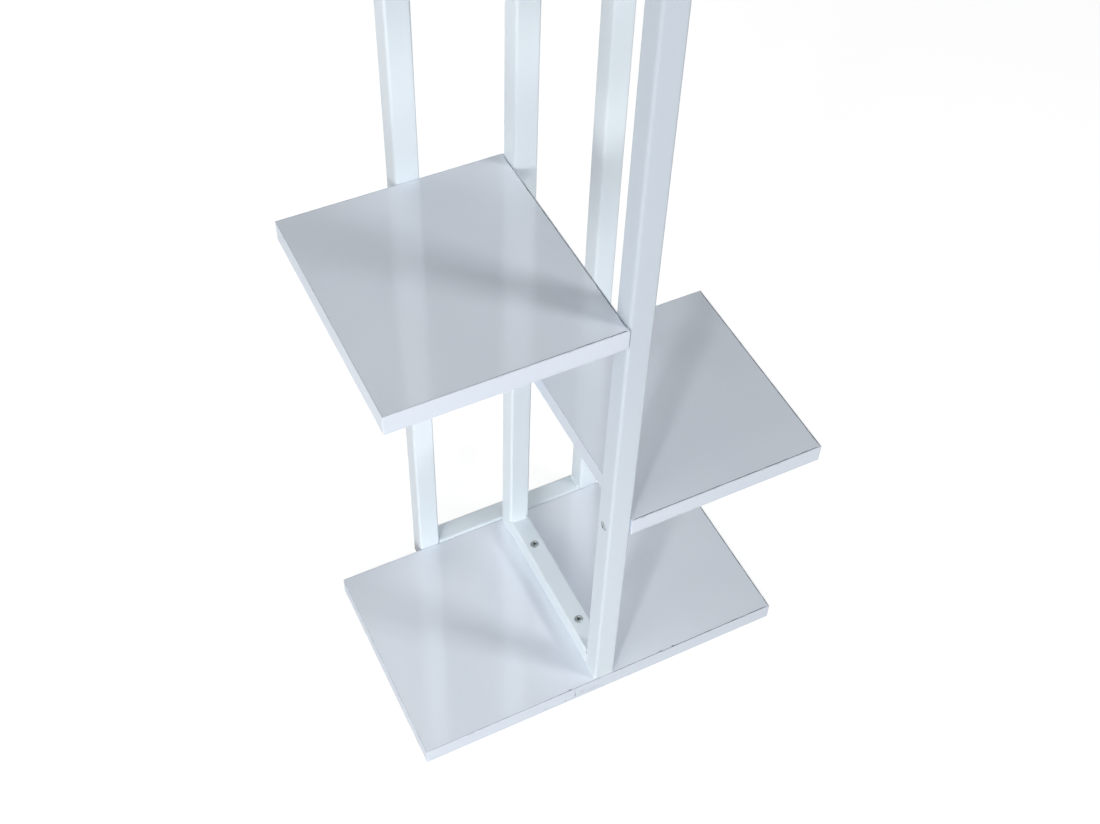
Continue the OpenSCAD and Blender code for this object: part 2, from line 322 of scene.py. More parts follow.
# %% From rows of points to a skin
def skin(rings, loop=False):
    """Faces over an (m, n, 3) array: (i, j), (i, j+1), (i+1, j+1), (i+1, j), with j closed round.
    The rows run counter-clockwise seen from where they go, so the faces look outwards. loop joins
    the last row to the first, and otherwise one face fills each end."""
    index = np.arange(rings.shape[0] * rings.shape[1]).reshape(rings.shape[:2])
    here, there = (index, np.roll(index, -1, 0)) if loop else (index[:-1], index[1:])
    quads = np.stack([here, np.roll(here, -1, 1), np.roll(there, -1, 1), there], -1)
    ends = [] if loop else [index[0, ::-1].tolist(), index[-1].tolist()]
    return rings.reshape(-1, 3), quads.reshape(-1, 4).tolist(), ends


print("skin helper ready")


# %% From skins to a piece
def make_piece(name, skins, material, stands_for=(), marks=None):
    """One object from several skins, in millimetres, with its place in its mesh. Marks are named
    values on its points."""
    points, faces, smooth, count = [], [], [], 0
    for verts, quads, ends in skins:
        faces += [[v + count for v in face] for face in quads + ends]
        smooth += [True] * len(quads) + [False] * len(ends)
        points.append(verts)
        count += len(verts)
    mesh = bpy.data.meshes.new(name)
    mesh.from_pydata((np.concatenate(points) * MM).tolist(), [], faces)
    mesh.polygons.foreach_set("use_smooth", smooth)
    for mark, values in (marks or {}).items():
        carried_by = mesh.attributes.new(mark, "FLOAT", "POINT").data
        carried_by.foreach_set("value", np.concatenate(values).astype(np.float32))
    mesh.materials.append(material)
    piece = put(name, mesh)
    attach(piece, "root")
    if stands_for:
        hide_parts(*stands_for)


print("piece helper ready")

# %% [markdown]
# ## An uneven line
# Nothing cut, trimmed or glued by hand runs dead straight. Random numbers at each point would look
# jagged, so the unevenness is a few sine waves of different lengths, started at random but seeded
# places, which comes out the same at every run.

# %% Seeded waves
SHORTER = 1.8  # how many times longer each wave is than the next


def uneven(distance, seed, longest=70.0, waves=7):
    """Sum of sines over distance in mm, from -1 to 1. Each is SHORTER times shorter than the last,
    and lower by the square root of that."""
    lengths = longest / SHORTER ** np.arange(waves)
    starts = np.random.default_rng(seed).uniform(0, 2 * np.pi, waves)
    heights = np.sqrt(lengths)
    angles = 2 * np.pi * distance[..., None] / lengths + starts
    return (heights * np.sin(angles)).sum(-1) / heights.sum()


print("spread over a metre:", np.round(np.ptp(uneven(np.arange(1000.0), 1)), 2))

# %% [markdown]
# ## Melamine facing
# The boards are chipboard pressed between sheets of melamine resin paper. The resin is hard and a
# little glossy. Its refractive index is about 1.65, raised here to 1.75 so that the reflections are
# as clear as in the photograph, and the press plate leaves a pearl texture. Paint would need a coat
# over a base, but here one layer of resin does it: a cool white, clouded by a percent or so, a
# touch duller where hands have been, and a speck of dust here and there. It is smooth enough to
# show a soft reflection of the post behind it.

# %% Melamine: tone and dust
CLOUD = 90 * MM
SPECK, SPECK_CELL = 0.35 * MM, 17 * MM  # a speck's radius, and the spacing of places for one
SPECK_CORE, SPECK_SHARE = 0.6, 0.35  # its fully grey part, and the share of places that have one
melamine, tree, shader, place = new_finish("pressed_melamine_facing", IOR=1.75)
cloud = add(tree, "ShaderNodeTexNoise", {"Vector": place, "Scale": 1 / CLOUD, "Detail": 3.0})
tone = add(tree, "ShaderNodeMapRange", {
    "Value": cloud.outputs["Fac"], "From Min": 0.3, "From Max": 0.7})
face = add(tree, "ShaderNodeMix", {
    "Factor": tone.outputs[0], "A": linear("#EAF1FA"), "B": linear("#EEF4FC")}, data_type="RGBA")
dust = add(tree, "ShaderNodeTexVoronoi", {"Vector": place, "Scale": 1 / SPECK_CELL})
near = add(tree, "ShaderNodeMapRange", {
    "Value": dust.outputs["Distance"], "From Min": SPECK_CORE * SPECK / SPECK_CELL,
    "From Max": SPECK / SPECK_CELL, "To Min": 1.0, "To Max": 0.0})
draw = add(tree, "ShaderNodeSeparateColor", {0: dust.outputs["Color"]})
some = add(tree, "ShaderNodeMath", {0: draw.outputs[0], 1: SPECK_SHARE}, operation="LESS_THAN")
speck = add(tree, "ShaderNodeMath", {0: near.outputs[0], 1: some.outputs[0]}, operation="MULTIPLY")
faced = add(tree, "ShaderNodeMix", {
    "Factor": speck.outputs[0], "A": face.outputs["Result"], "B": linear("#A3A8AC")},
    data_type="RGBA")
print("a place for dust every", round(SPECK_CELL / MM), "mm")

# %% Melamine: gloss and pearl
HANDLED, FACE_ROUGH = 45 * MM, (0.07, 0.12)  # size of touched patches, and roughness off and on
PEARL, PEARL_HEIGHT = 1.1 * MM, 0.006 * MM
# The real pearl is about 0.5 mm wide. It is drawn twice as wide so that close views can show it.
handled = add(tree, "ShaderNodeTexNoise", {"Vector": place, "Scale": 1 / HANDLED, "Detail": 2.0})
sheen = add(tree, "ShaderNodeMapRange", {
    "Value": handled.outputs["Fac"], "To Min": FACE_ROUGH[0], "To Max": FACE_ROUGH[1]})
pearl = add(tree, "ShaderNodeTexNoise", {"Vector": place, "Scale": 1 / PEARL, "Detail": 1.0})
bump = add(tree, "ShaderNodeBump", {"Height": pearl.outputs["Fac"], "Distance": PEARL_HEIGHT})
vary(tree, shader, faced.outputs["Result"], sheen.outputs[0], bump.outputs[0])
print(melamine.name)

# %% [markdown]
# ## Edging
# The boards' edges are covered with a thin strip of white plastic, glued on hot and trimmed. Its
# white is a shade greyer than the faces', and it looks no darker because it faces the lamps. The
# scraper leaves fine lines along its length, so the noise is drawn out sideways and changes fast
# with height, and knocks leave grey marks along the two corners. Those follow the strip, so they
# read a value that the strip's mesh carries, called arris. Round the joint in the base's front
# strip the glue has left a few soft grey smudges. A painted picture could hold them, but an oval
# that fades out from its middle needs only a place and a size.

# %% Edging: plastic, scraper lines and knocks
TRIM_LINE, DRAWN_OUT = 0.7 * MM, 0.02  # a line's height, and its height as a share of its length
KNOCK, KNOCK_GREY = 9 * MM, 0.45  # a knock's size, and how grey it is at most
KNOCKED_FROM, KNOCKED_FULL = 0.56, 0.70  # values of the noise between which a knock shows up
edging, tree, shader, place = new_finish("trimmed_plastic_edging", IOR=1.52)
drawn_out = add(tree, "ShaderNodeMapping", {
    "Vector": place, "Scale": (DRAWN_OUT, DRAWN_OUT, 1.0)})
lines = add(tree, "ShaderNodeTexNoise", {
    "Vector": drawn_out.outputs[0], "Scale": 1 / TRIM_LINE, "Detail": 2.0})
cloud = add(tree, "ShaderNodeTexNoise", {"Vector": place, "Scale": 1 / CLOUD, "Detail": 2.0})
plastic = add(tree, "ShaderNodeMix", {
    "Factor": cloud.outputs["Fac"], "A": linear("#D7DFEA"), "B": linear("#DDE4EE")},
    data_type="RGBA")
arris = add(tree, "ShaderNodeAttribute", attribute_name="arris")
knocks = add(tree, "ShaderNodeTexNoise", {
    "Vector": place, "Scale": 1 / KNOCK, "Detail": 5.0, "Roughness": 0.65})
hit = add(tree, "ShaderNodeMapRange", {
    "Value": knocks.outputs["Fac"], "From Min": KNOCKED_FROM, "From Max": KNOCKED_FULL,
    "To Max": KNOCK_GREY})
worn = add(tree, "ShaderNodeMath", {0: hit.outputs[0], 1: arris.outputs["Fac"]},
           operation="MULTIPLY")
print("a knock is about", round(KNOCK / MM), "mm long")

# %% Edging: smudges, and the whole finish
FRONT_FACE, SMUDGE_DEPTH = -112.0, 2  # y of the base's front strip, and half a smudge's depth, mm
SMUDGE_CORE, SMUDGE_RIM = 0.1, 1.2  # where it starts to fade and where it ends, in half sizes
SMUDGES = [  # x, z, half width, half height in mm, and how grey
    (-30.6, 11.5, 1.3, 6.0, 0.55), (-23.5, 12.0, 4.5, 4.0, 0.28), (-12.0, 10.5, 11.0, 2.6, 0.24),
    (-40.5, 7.5, 2.2, 1.6, 0.35), (-61.5, 8.5, 3.0, 1.6, 0.30), (-1.5, 5.6, 1.8, 1.5, 0.40),
    (27.0, 5.6, 1.6, 1.5, 0.35),
]
STRIP_ROUGH, LINE_DEPTH = (0.30, 0.46), 0.010 * MM  # off and on the scraper's lines
grey = worn.outputs[0]
for x, z, wide, tall, much in SMUDGES:
    centred = add(tree, "ShaderNodeVectorMath", {
        0: place, 1: (x * MM, FRONT_FACE * MM, z * MM)}, operation="SUBTRACT")
    scaled = add(tree, "ShaderNodeVectorMath", {
        0: centred.outputs[0],
        1: (1 / (wide * MM), 1 / (SMUDGE_DEPTH * MM), 1 / (tall * MM))}, operation="MULTIPLY")
    far = add(tree, "ShaderNodeVectorMath", {0: scaled.outputs[0]}, operation="LENGTH")
    oval = add(tree, "ShaderNodeMapRange", {
        "Value": far.outputs["Value"], "From Min": SMUDGE_CORE, "From Max": SMUDGE_RIM,
        "To Min": much, "To Max": 0.0}, interpolation_type="SMOOTHSTEP")
    darker = add(tree, "ShaderNodeMath", {0: grey, 1: oval.outputs["Result"]}, operation="MAXIMUM")
    grey = darker.outputs[0]
knocked = add(tree, "ShaderNodeMix", {
    "Factor": grey, "A": plastic.outputs["Result"], "B": linear("#8C939C")}, data_type="RGBA")
sheen = add(tree, "ShaderNodeMapRange", {
    "Value": lines.outputs["Fac"], "To Min": STRIP_ROUGH[0], "To Max": STRIP_ROUGH[1]})
bump = add(tree, "ShaderNodeBump", {"Height": lines.outputs["Fac"], "Distance": LINE_DEPTH})
vary(tree, shader, knocked.outputs["Result"], sheen.outputs[0], bump.outputs[0])
print(edging.name, "with", len(SMUDGES), "smudges")

# %% [markdown]
# ## Glue line
# Between a face and its edging runs a hair of melt glue that has picked up dirt. From a distance it
# reads as a thin dark line, paler where the glue is clean. Lumps and gaps could be modelled, but
# they would be too small to see, so two greys are mixed by a coarse noise instead.

# %% Glue material
GLUE_PATCH, DIRTY_TO, CLEAN_FROM = 14 * MM, 0.42, 0.62  # a patch's size, and two noise values
glue, tree, shader, place = new_finish("dirty_melt_glue", Roughness=0.6)
clean = add(tree, "ShaderNodeTexNoise", {"Vector": place, "Scale": 1 / GLUE_PATCH, "Detail": 5.0})
patchy = add(tree, "ShaderNodeMapRange", {
    "Value": clean.outputs["Fac"], "From Min": DIRTY_TO, "From Max": CLEAN_FROM})
dirt = add(tree, "ShaderNodeMix", {
    "Factor": patchy.outputs[0], "A": linear("#2C2E31"), "B": linear("#6F7479")}, data_type="RGBA")
tree.links.new(dirt.outputs["Result"], shader.inputs["Base Color"])
print(glue.name)

# %% [markdown]
# ## Boards
# A board has three pieces. The panel is the faced chipboard, whose saw cut leaves a tiny uneven
# bevel. The edging is four strips round it, and on the base the front strip is in two lengths. The
# glue is a thin frame between them that shows only in the bevel. A Bevel modifier would make the
# bevel even, so the panel's outline is worked out point by point instead. Sizes are in millimetres.

# %% Outline of a panel
CORNER_IN = 0.06  # how far in the outline lies at the corners


def outline(low, high, inset):
    """A closed ring round an oblong, counter-clockwise from the front left corner. inset is a
    (4, n) array, front, right, back, left: how far in each point lies. Each row starts and ends at
    CORNER_IN."""
    share = np.arange(inset.shape[1]) / inset.shape[1]
    x = low[0] + CORNER_IN + share * (high[0] - low[0] - 2 * CORNER_IN)
    y = low[1] + CORNER_IN + share * (high[1] - low[1] - 2 * CORNER_IN)
    far_x, far_y = low[0] + high[0] - x, low[1] + high[1] - y
    return np.concatenate([np.stack(side, -1) for side in (
        (x, low[1] + inset[0]), (high[0] - inset[1], y),
        (far_x, high[1] - inset[2]), (low[0] + inset[3], far_y))])


def ring_at(xy, z):
    """A flat ring lifted to the height z."""
    return np.column_stack([xy, np.full(len(xy), z)])


print("a corner lies", CORNER_IN, "mm in")

# %% Saw cut
SIDE_POINTS, FADE_POINTS = 260, 5  # along each side, and how many of them the corners fade over
SAW_UNEVEN, SAW_WAVE = 0.45, 30.0  # share of the width, and the longest wave
CHIP_DEEP, CHIP_WIDE = 0.9, 1.1


def saw_cut(low, high, widths, seed, chips=()):
    """Width of the bevel along the four sides. Each side's width goes evenly from its first value
    to its second, times 1 + SAW_UNEVEN * a seeded wave. A chip at x0 on the front adds
    CHIP_DEEP * exp(-((x - x0) / CHIP_WIDE) ** 2). The width fades to CORNER_IN at the corners."""
    share = np.arange(SIDE_POINTS) / SIDE_POINTS
    lengths = [high[0] - low[0], high[1] - low[1]] * 2
    rows = np.array([
        (a + (b - a) * share) * (1 + SAW_UNEVEN * uneven(share * length, seed + k, SAW_WAVE))
        for k, ((a, b), length) in enumerate(zip(widths, lengths))])
    x = low[0] + share * lengths[0]
    for chip_x in chips:
        rows[0] += CHIP_DEEP * np.exp(-((x - chip_x) / CHIP_WIDE) ** 2)
    fade = np.clip(np.minimum(share, 1 - share) * SIDE_POINTS / FADE_POINTS, 0, 1)
    return CORNER_IN + (rows - CORNER_IN) * fade


print("points round a panel:", 4 * SIDE_POINTS)

# %% Panel and glue
BEVEL_HIGH, BEVEL_FOOT = 0.25, 0.08  # its height, and how much further out it ends than it starts
GLUE_OUT, GLUE_IN, GLUE_DOWN = 0.05, 2.0, 0.07  # from the panel's edge, and below its face


def panel_skin(low, high, cut):
    """Four rows up the panel's side: underside, bevel, bevel, top."""
    narrow = outline(low, high, cut)
    full = outline(low, high, np.maximum(cut - BEVEL_FOOT, 0.0))
    return skin(np.stack([ring_at(narrow, low[2]), ring_at(full, low[2] + BEVEL_HIGH),
                          ring_at(full, high[2] - BEVEL_HIGH), ring_at(narrow, high[2])]))


def glue_skin(low, high):
    """A frame of glue: an oblong section, from GLUE_OUT in the edging to GLUE_IN in the panel,
    carried round the board."""
    bottom, top = low[2] + GLUE_DOWN, high[2] - GLUE_DOWN
    rings = []
    for inset, z in ((-GLUE_OUT, bottom), (-GLUE_OUT, top), (GLUE_IN, top), (GLUE_IN, bottom)):
        x0, y0, x1, y1 = low[0] + inset, low[1] + inset, high[0] - inset, high[1] - inset
        rings.append(ring_at(np.array([[x0, y0], [x1, y0], [x1, y1], [x0, y1]]), z))
    return skin(np.stack(rings), loop=True)


print("bevel height, mm:", BEVEL_HIGH)

# %% [markdown]
# ## Edging strips
# A strip could be a plain thin box, but its soft corners catch the light. So it is its
# cross-section carried along its length. The section is an oblong with two rounded outer corners,
# where the trimmer has eased it. Along the way the outer face wanders by a few hundredths of a
# millimetre, and it curves in at the ends, where the board's upright corners are round.

# %% Section of a strip
EASE, INNER_EASE = 0.35, 0.05  # radii of the outer and inner corners
ARC_POINTS = 5
PAST_EASE, FROM_EDGE = 0.2, 2.5  # the outer face has points there, for the arris to fade between


def strip_section(thick, tall):
    """Quarter arcs of radius EASE outside and INNER_EASE inside, joined counter-clockwise, then
    points down the outer face."""
    arcs = []
    for y, z, radius, start in (
            (EASE, EASE, EASE, 180), (thick - INNER_EASE, INNER_EASE, INNER_EASE, 270),
            (thick - INNER_EASE, tall - INNER_EASE, INNER_EASE, 0),
            (EASE, tall - EASE, EASE, 90)):
        turn = np.radians(start + np.linspace(0, 90, ARC_POINTS))
        arcs.append(np.stack([y + radius * np.cos(turn), z + radius * np.sin(turn)], -1))
    down = np.array([tall - EASE - PAST_EASE, tall - FROM_EDGE, tall / 2,
                     FROM_EDGE, EASE + PAST_EASE])
    return np.concatenate(arcs + [np.stack([np.zeros_like(down), down], -1)])


print("points round a strip:", len(strip_section(0.8, 18.0)))

# %% Strip along its length
END_EASE, END_STEPS = 0.6, 6  # radius of a rounded end, and the sections along it
FIRST_STEP, LAST_STEP, STEP = 2.0, 1.5, 3.0  # from the start, from the end, and between sections
WANDER, TRIM_WANDER = 0.025, 0.015  # of the outer face, and of the two trimmed edges
TRIM_SEED, ARRIS_REACH = 50, 2.2


def strip(length, thick, tall, seed, round_start, round_end):
    """The section at every step along X, and the arris value of each point. The outer points move
    in by END_EASE - sqrt(END_EASE^2 - (END_EASE - d)^2) at a distance d from a rounded end, and by
    up to twice WANDER anywhere. The arris is 1 on an outer corner and 0 from ARRIS_REACH on."""
    section = strip_section(thick, tall)
    near = np.linspace(0, END_EASE, END_STEPS)
    steps = np.concatenate([near, np.arange(FIRST_STEP, length - LAST_STEP, STEP),
                            length - near[::-1]])
    d_start = np.where(round_start, np.minimum(steps, END_EASE), END_EASE)
    d_end = np.where(round_end, np.minimum(length - steps, END_EASE), END_EASE)
    d = np.clip(np.minimum(d_start, d_end), 0, END_EASE)
    rounding = END_EASE - np.sqrt(END_EASE ** 2 - (END_EASE - d) ** 2)
    move = rounding + WANDER * (1 + uneven(steps, seed))
    outer = 1 - section[:, 0] / thick
    y = section[None, :, 0] + move[:, None] * outer[None, :]
    trim = TRIM_WANDER * (1 + uneven(steps, seed + TRIM_SEED))[:, None]
    z = trim + section[None, :, 1] * (1 - 2 * trim / tall)
    points = np.stack([np.broadcast_to(steps[:, None], y.shape), y, z], -1)
    to_corner = np.minimum(section[:, 1], tall - section[:, 1])
    arris = np.where(section[:, 0] < thick / 2, np.clip(1 - to_corner / ARRIS_REACH, 0, 1), 0)
    return points, np.broadcast_to(arris, y.shape).reshape(-1)


def laid(points, start, quarter):
    """Turns a strip by quarter turns about Z and moves its start to a corner."""
    c, s = [(1, 0), (0, 1), (-1, 0), (0, -1)][quarter]
    x, y, z = points[..., 0], points[..., 1], points[..., 2]
    return np.stack([start[0] + c * x - s * y, start[1] + s * x + c * y, start[2] + z], -1)


print("a strip has a section every", STEP, "mm")

# %% [markdown]
# The base's front strip was too short for the board, so a second length was let in beside it, and
# the joint shows as an upright line left of the front post. The saw has also chipped the top there.
# The five boards could be made one by one, but they differ only in size and in their saw cuts.

# %% Where the strips of a board lie
SEAM_X, SEAM_GAP = -30.6, 0.25  # the middle of the joint, and its width
STRIP_GAP = 0.15  # between a side strip and the front or back one


def strips_round(low, high, out_low, out_high, jointed):
    """For each strip: where it starts, its quarter turns, its length, and whether its start and
    end are rounded. They go round the board: front, right, back, left."""
    wide, deep = out_high[0] - out_low[0], high[1] - low[1] - 2 * STRIP_GAP
    joint, z = SEAM_X - out_low[0], low[2]
    fronts = [(0, wide, True, True)]
    if jointed:
        after = joint + SEAM_GAP / 2
        fronts = [(0, joint - SEAM_GAP / 2, True, False),
                  (after, wide - joint - SEAM_GAP / 2, False, True)]
    runs = [((out_low[0] + at, out_low[1], z), 0, length, a, b) for at, length, a, b in fronts]
    return runs + [((out_high[0], low[1] + STRIP_GAP, z), 1, deep, False, False),
                   ((out_high[0], out_high[1], z), 2, wide, True, True),
                   ((out_low[0], high[1] - STRIP_GAP, z), 3, deep, False, False)]


print("joint in the front strip at x =", SEAM_X, "mm")

# %% Make the five boards
BOARDS = {"base": "base_board", "lower_right": "lower_right_shelf",
          "middle_left": "middle_left_shelf", "upper_right": "upper_right_shelf",
          "upper_left": "upper_left_shelf"}
OTHER_CUTS = [(0.60, 0.55), (0.12, 0.12), (0.06, 0.08)]  # right, back and left, each end to end
FRONT_CUTS = {"base": (0.15, 0.62), "middle_left": (0.06, 0.60)}
USUAL_FRONT_CUT = (0.62, 0.62)
CHIPS = {"base": (-35.9, 60.1, 73.2)}  # where the saw has chipped the front, in x


def in_mm(box):
    """The two corners of a box given in metres, in millimetres."""
    return [np.array(corner) / MM for corner in box]


def board(name, node, seed):
    """Panel, glue line and edging of one board, from the boxes of its CAD nodes."""
    bands = name + "_edge_bands"
    low, high = in_mm(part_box(node))
    out_low, out_high = in_mm(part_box(bands))
    thick, tall = low[0] - out_low[0], high[2] - low[2]
    widths = [FRONT_CUTS.get(name, USUAL_FRONT_CUT)] + OTHER_CUTS
    cut = saw_cut(low, high, widths, seed, CHIPS.get(name, ()))
    make_piece(name + "_panel", [panel_skin(low, high, cut)], melamine, [node])
    make_piece(name + "_glue_line", [glue_skin(low, high)], glue)
    runs = strips_round(low, high, out_low, out_high, name == "base")
    made = [strip(length, thick, tall, seed + 10 * k, a, b)
            for k, (_, _, length, a, b) in enumerate(runs)]
    skins = [skin(laid(points, start, quarter))
             for (points, _), (start, quarter, *_) in zip(made, runs)]
    make_piece(name + "_edging", skins, edging, [bands],
               {"arris": [arris for _, arris in made]})
    return out_high[0] - out_low[0], high[1] - low[1] + 2 * thick, thick


for number, (name, node) in enumerate(BOARDS.items()):
    sizes = board(name, node, 100 * number + 7)
    print(name, "width, depth and edging, mm:", [round(float(v), 2) for v in sizes])

# %% [markdown]
# ## Powder coat
# The tube is coated with polyester powder, baked at about 200 degrees C. The powder melts into a
# skin with the slight waves called orange peel, a few millimetres from crest to crest, and keeps a
# satin gloss. It is a slightly greener white than the boards. It could be a coat over a base, but
# the powder is one opaque layer, so one layer of shader does it too. The front post is greyer than
# the other three, most of all higher up, and that grey is painted shade. So one function makes the
# coat, and is told how much of its tone goes over to a painted shade on the way up, and how rough
# it is: the front post's coat is the rougher one, so its corners show no bright line.

# %% Powder coat material
PEEL, PEEL_HEIGHT = 2.8 * MM, 0.030 * MM
GRIT, GRIT_HEIGHT = 0.5 * MM, 0.003 * MM
DRIFT = 160 * MM  # how far the coat's tone takes to change
# painted shade on the front post: its share at the floor, and the height where it is full
SHADE_AT_FLOOR, SHADE_FULL = 0.25, 450 * MM


def powder_coat(name, painted_shade, rough_low, rough_high):
    """painted_shade is the share of painted shade, a greyer tone, from the height SHADE_FULL up. At
    the floor it is
    SHADE_AT_FLOOR times that."""
    material, tree, shader, place = new_finish(name, IOR=1.5)
    drift = add(tree, "ShaderNodeTexNoise", {"Vector": place, "Scale": 1 / DRIFT, "Detail": 2.0})
    coat = add(tree, "ShaderNodeMix", {
        "Factor": drift.outputs["Fac"], "A": linear("#E5EEF5"), "B": linear("#EBF4F9")},
        data_type="RGBA")
    height = add(tree, "ShaderNodeSeparateXYZ", {"Vector": place})
    shade_share = add(tree, "ShaderNodeMapRange", {
        "Value": height.outputs["Z"], "From Max": SHADE_FULL,
        "To Min": SHADE_AT_FLOOR * painted_shade, "To Max": painted_shade})
    # a greyer tone mixed in as painted shade, more of it higher up
    tone = add(tree, "ShaderNodeMix", {
        "Factor": shade_share.outputs[0], "A": coat.outputs["Result"], "B": linear("#CDD6DF")},
        data_type="RGBA")
    peel = add(tree, "ShaderNodeTexNoise", {"Vector": place, "Scale": 1 / PEEL, "Detail": 1.5})
    grit = add(tree, "ShaderNodeTexNoise", {"Vector": place, "Scale": 1 / GRIT, "Detail": 1.0})
    sheen = add(tree, "ShaderNodeMapRange", {
        "Value": grit.outputs["Fac"], "To Min": rough_low, "To Max": rough_high})
    waves = add(tree, "ShaderNodeBump", {"Height": peel.outputs["Fac"], "Distance": PEEL_HEIGHT})
    fine = add(tree, "ShaderNodeBump", {
        "Height": grit.outputs["Fac"], "Distance": GRIT_HEIGHT, "Normal": waves.outputs[0]})
    vary(tree, shader, tone.outputs["Result"], sheen.outputs[0], fine.outputs[0])
    return material


powder = powder_coat("satin_powder_coat", 0.0, 0.38, 0.52)
# the front post's coat, with painted shade that grows towards the top
shaded_front_powder = powder_coat("front_post_painted_shade_coat", 1.0, 0.62, 0.76)
print(powder.name, shaded_front_powder.name)

# %% [markdown]
# ## Zinc screws
# The screws are steel, with countersunk or slightly domed heads, and plated with zinc. Metal takes
# its look from what it reflects, so the shader is fully metallic and keeps its default IOR. The
# plating has patches that are slightly blue or yellow, and the driver has scratched it. The CAD
# heads already have their cross recess, and it gets painted shade. A dark colour could be painted
# into the recess alone, but it is easier to darken whatever is closed in on all sides, as ambient
# occlusion measures it.

# %% Zinc material
PATCH, SCORE, SCORE_DEPTH = 3 * MM, 0.4 * MM, 0.02 * MM
# painted shade in the recess: how far it reaches, and the openness where it is full and where it
# ends
RECESS, CLOSED_IN, OPEN_AIR = 2.5 * MM, 0.30, 0.75  # its width, and the openness in it and out
ZINC_ROUGH = (0.34, 0.58)
zinc, tree, shader, place = new_finish("bright_zinc_plate", Metallic=1.0)
patches = add(tree, "ShaderNodeTexNoise", {"Vector": place, "Scale": 1 / PATCH, "Detail": 3.0})
plate = add(tree, "ShaderNodeMix", {
    "Factor": patches.outputs["Fac"], "A": linear("#A5B1B8"), "B": linear("#B4B8B4")},
    data_type="RGBA")
# ambient occlusion finds where the surface is closed in, for the painted shade
openness = add(tree, "ShaderNodeAmbientOcclusion", {"Distance": RECESS},
               only_local=True, samples=8)
unshaded_share = add(tree, "ShaderNodeMapRange", {
    "Value": openness.outputs["AO"], "From Min": CLOSED_IN, "From Max": OPEN_AIR})
# the plate's colour, with painted shade where the surface is closed in
plate_and_painted_shade = add(tree, "ShaderNodeMix", {
    "Factor": unshaded_share.outputs["Result"], "A": linear("#3A3E40"), "B": plate.outputs["Result"]},
    data_type="RGBA")
scored = add(tree, "ShaderNodeTexNoise", {
    "Vector": place, "Scale": 1 / SCORE, "Detail": 4.0, "Distortion": 1.5})
sheen = add(tree, "ShaderNodeMapRange", {
    "Value": scored.outputs["Fac"], "To Min": ZINC_ROUGH[0], "To Max": ZINC_ROUGH[1]})
bump = add(tree, "ShaderNodeBump", {"Height": scored.outputs["Fac"], "Distance": SCORE_DEPTH})
vary(tree, shader, plate_and_painted_shade.outputs["Result"], sheen.outputs[0], bump.outputs[0])
print(zinc.name)

# %% [markdown]
# ## Moulded plastic
# Feet and glides are moulded in dark grey polyethylene, and the plugs in the post tops in white.
# The steel mould was spark-eroded, which leaves an even, fine matt grain of about a third of a
# millimetre. Two materials could be built by hand, but only their tones and their gloss differ, so
# one function makes both.

# %% Plastic materials
GRAIN, GRAIN_DEPTH, TINT = 0.35 * MM, 0.02 * MM, 6 * MM


def moulded(name, dark, light, rough_low, rough_high):
    """A plastic with a tone between dark and light, and a grain that also varies its gloss."""
    material, tree, shader, place = new_finish(name, IOR=1.51)
    grain = add(tree, "ShaderNodeTexNoise", {"Vector": place, "Scale": 1 / GRAIN, "Detail": 2.0})
    tint = add(tree, "ShaderNodeTexNoise", {"Vector": place, "Scale": 1 / TINT, "Detail": 3.0})
    mixed = add(tree, "ShaderNodeMix", {
        "Factor": tint.outputs["Fac"], "A": linear(dark), "B": linear(light)}, data_type="RGBA")
    sheen = add(tree, "ShaderNodeMapRange", {
        "Value": grain.outputs["Fac"], "To Min": rough_low, "To Max": rough_high})
    bump = add(tree, "ShaderNodeBump", {"Height": grain.outputs["Fac"], "Distance": GRAIN_DEPTH})
    vary(tree, shader, mixed.outputs["Result"], sheen.outputs[0], bump.outputs[0])
    return material


foot_grey = moulded("moulded_dark_grey_foot", "#4A4F52", "#585D60", 0.42, 0.62)
plug_white = moulded("moulded_white_plug", "#DDE1E3", "#E4E8EA", 0.36, 0.54)
print(foot_grey.name, plug_white.name)

# %% [markdown]
# ## Parts that keep their CAD shape
# Tubes, screws, feet, glides and plugs have the right shape already. They could be modelled again,
# but a finish is all that they lack. The record says which material slot each node has, so every
# node gets its finish from there. The front post is the one exception, with its coat that carries
# painted shade.

# %% Finishes for the CAD nodes
FINISHES = {"powder_coated_steel": powder, "zinc_screw": zinc, "foot_plastic": foot_grey,
            "plug_plastic": plug_white, "melamine_board": melamine, "edge_band": edging}
for part in frame["record"]["subparts"]:
    finish = FINISHES[part["material_slot"]]
    # the front post gets the coat with painted shade
    if part["node"] == "centre_post_front":
        finish = shaded_front_powder
    for holder in frame["nodes"][part["node"]].material_slots:
        holder.material = finish

# %% [markdown]
# ## Weld beads
# Each rail is welded between two posts. Where its top or underside meets a post, a bead fills the
# corner, and its ripples are the puddles of the torch, one about every two millimetres. On the
# flush sides the weld was ground down to a low ridge. A bump in the coat's shader could hint at
# them, but a bead changes the outline of the corner. So both are a section carried along a line:
# for the bead a bulging triangle, for the ridge a flat arc, whose size swells with the ripples and
# fades at the ends.


# %% A section carried along a weld
def carried(start, end, first, second, section, size):
    """Points start + s * (end - start) + size(s) * (u * first + v * second), for each point (u, v)
    of a section and each s from 0 to 1."""
    start, end, first, second = (np.array(v, float) for v in (start, end, first, second))
    if np.dot(np.cross(first, second), end - start) < 0:
        start, end = end, start
    share = np.linspace(0, 1, len(size))[:, None, None]
    line = start + share * (end - start)
    wide = section[None, :, :1] * first + section[None, :, 1:] * second
    return line + size[:, None, None] * wide


print("weld helper ready")

